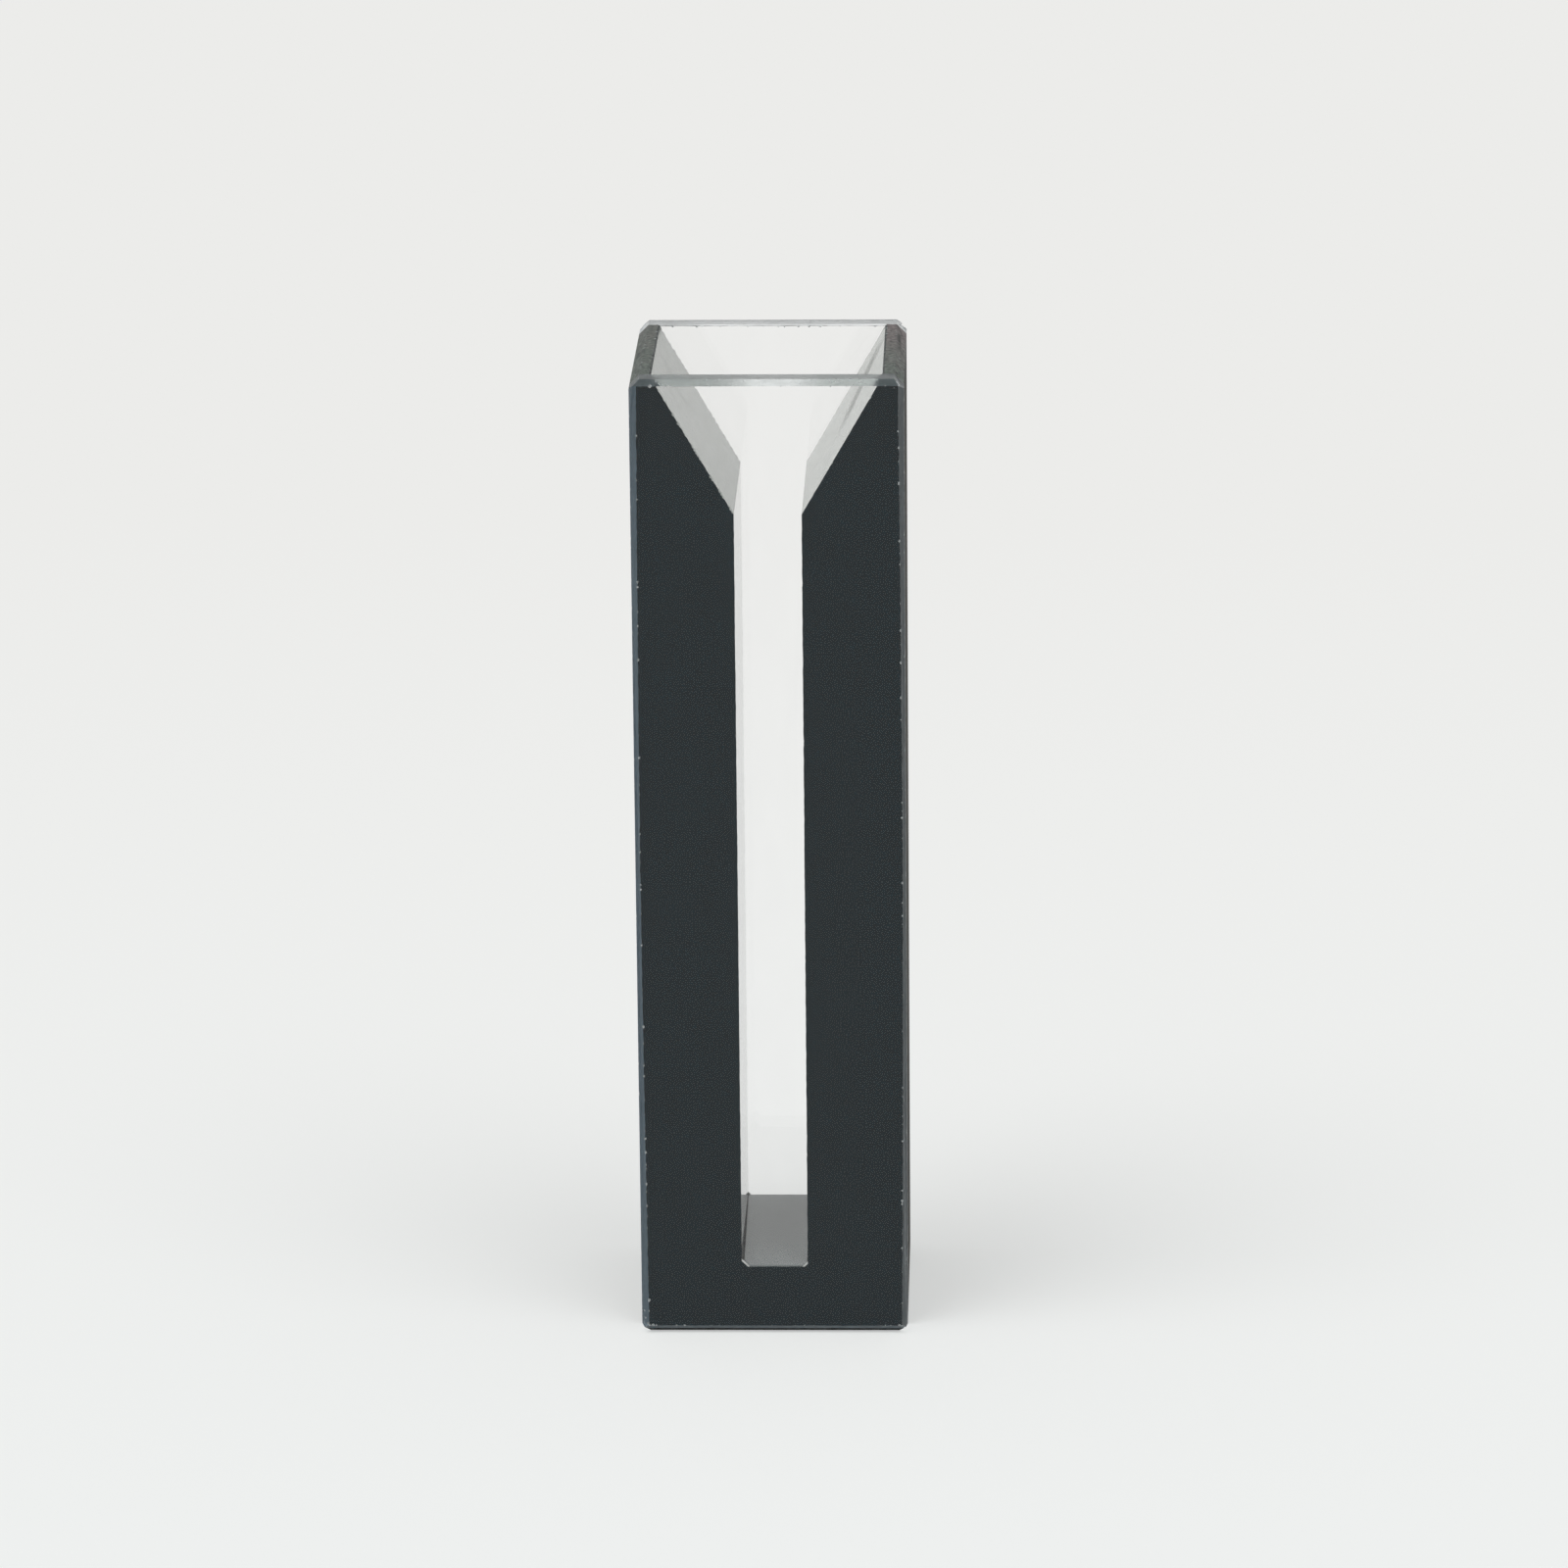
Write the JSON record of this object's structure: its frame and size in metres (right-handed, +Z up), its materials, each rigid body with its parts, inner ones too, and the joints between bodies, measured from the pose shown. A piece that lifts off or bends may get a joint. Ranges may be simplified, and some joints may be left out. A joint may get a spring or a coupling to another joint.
{
  "type": "cuvette",
  "caption": "Square upright spectrophotometer cell with clear front and rear windows, black side walls, a narrow sample slot and a wedge-shaped filling funnel.",
  "frame": {"origin": "centre of the base, on the surface the cell stands on", "axes": "+Z up to the open mouth; +Y along the light path, from the front window to the rear window; +X to the right across the slot"},
  "size_m": [0.0126, 0.0126, 0.046],
  "materials": {
    "clear_quartz": "polished faces, ground edges",
    "black_quartz": "opaque black, polished inside, ground outside"
  },
  "bodies": {
    "root": {"front_window": "clear_quartz", "rear_window": "clear_quartz", "left_wall": "black_quartz", "right_wall": "black_quartz", "floor_block": "black_quartz"}
  },
  "joints": []
}
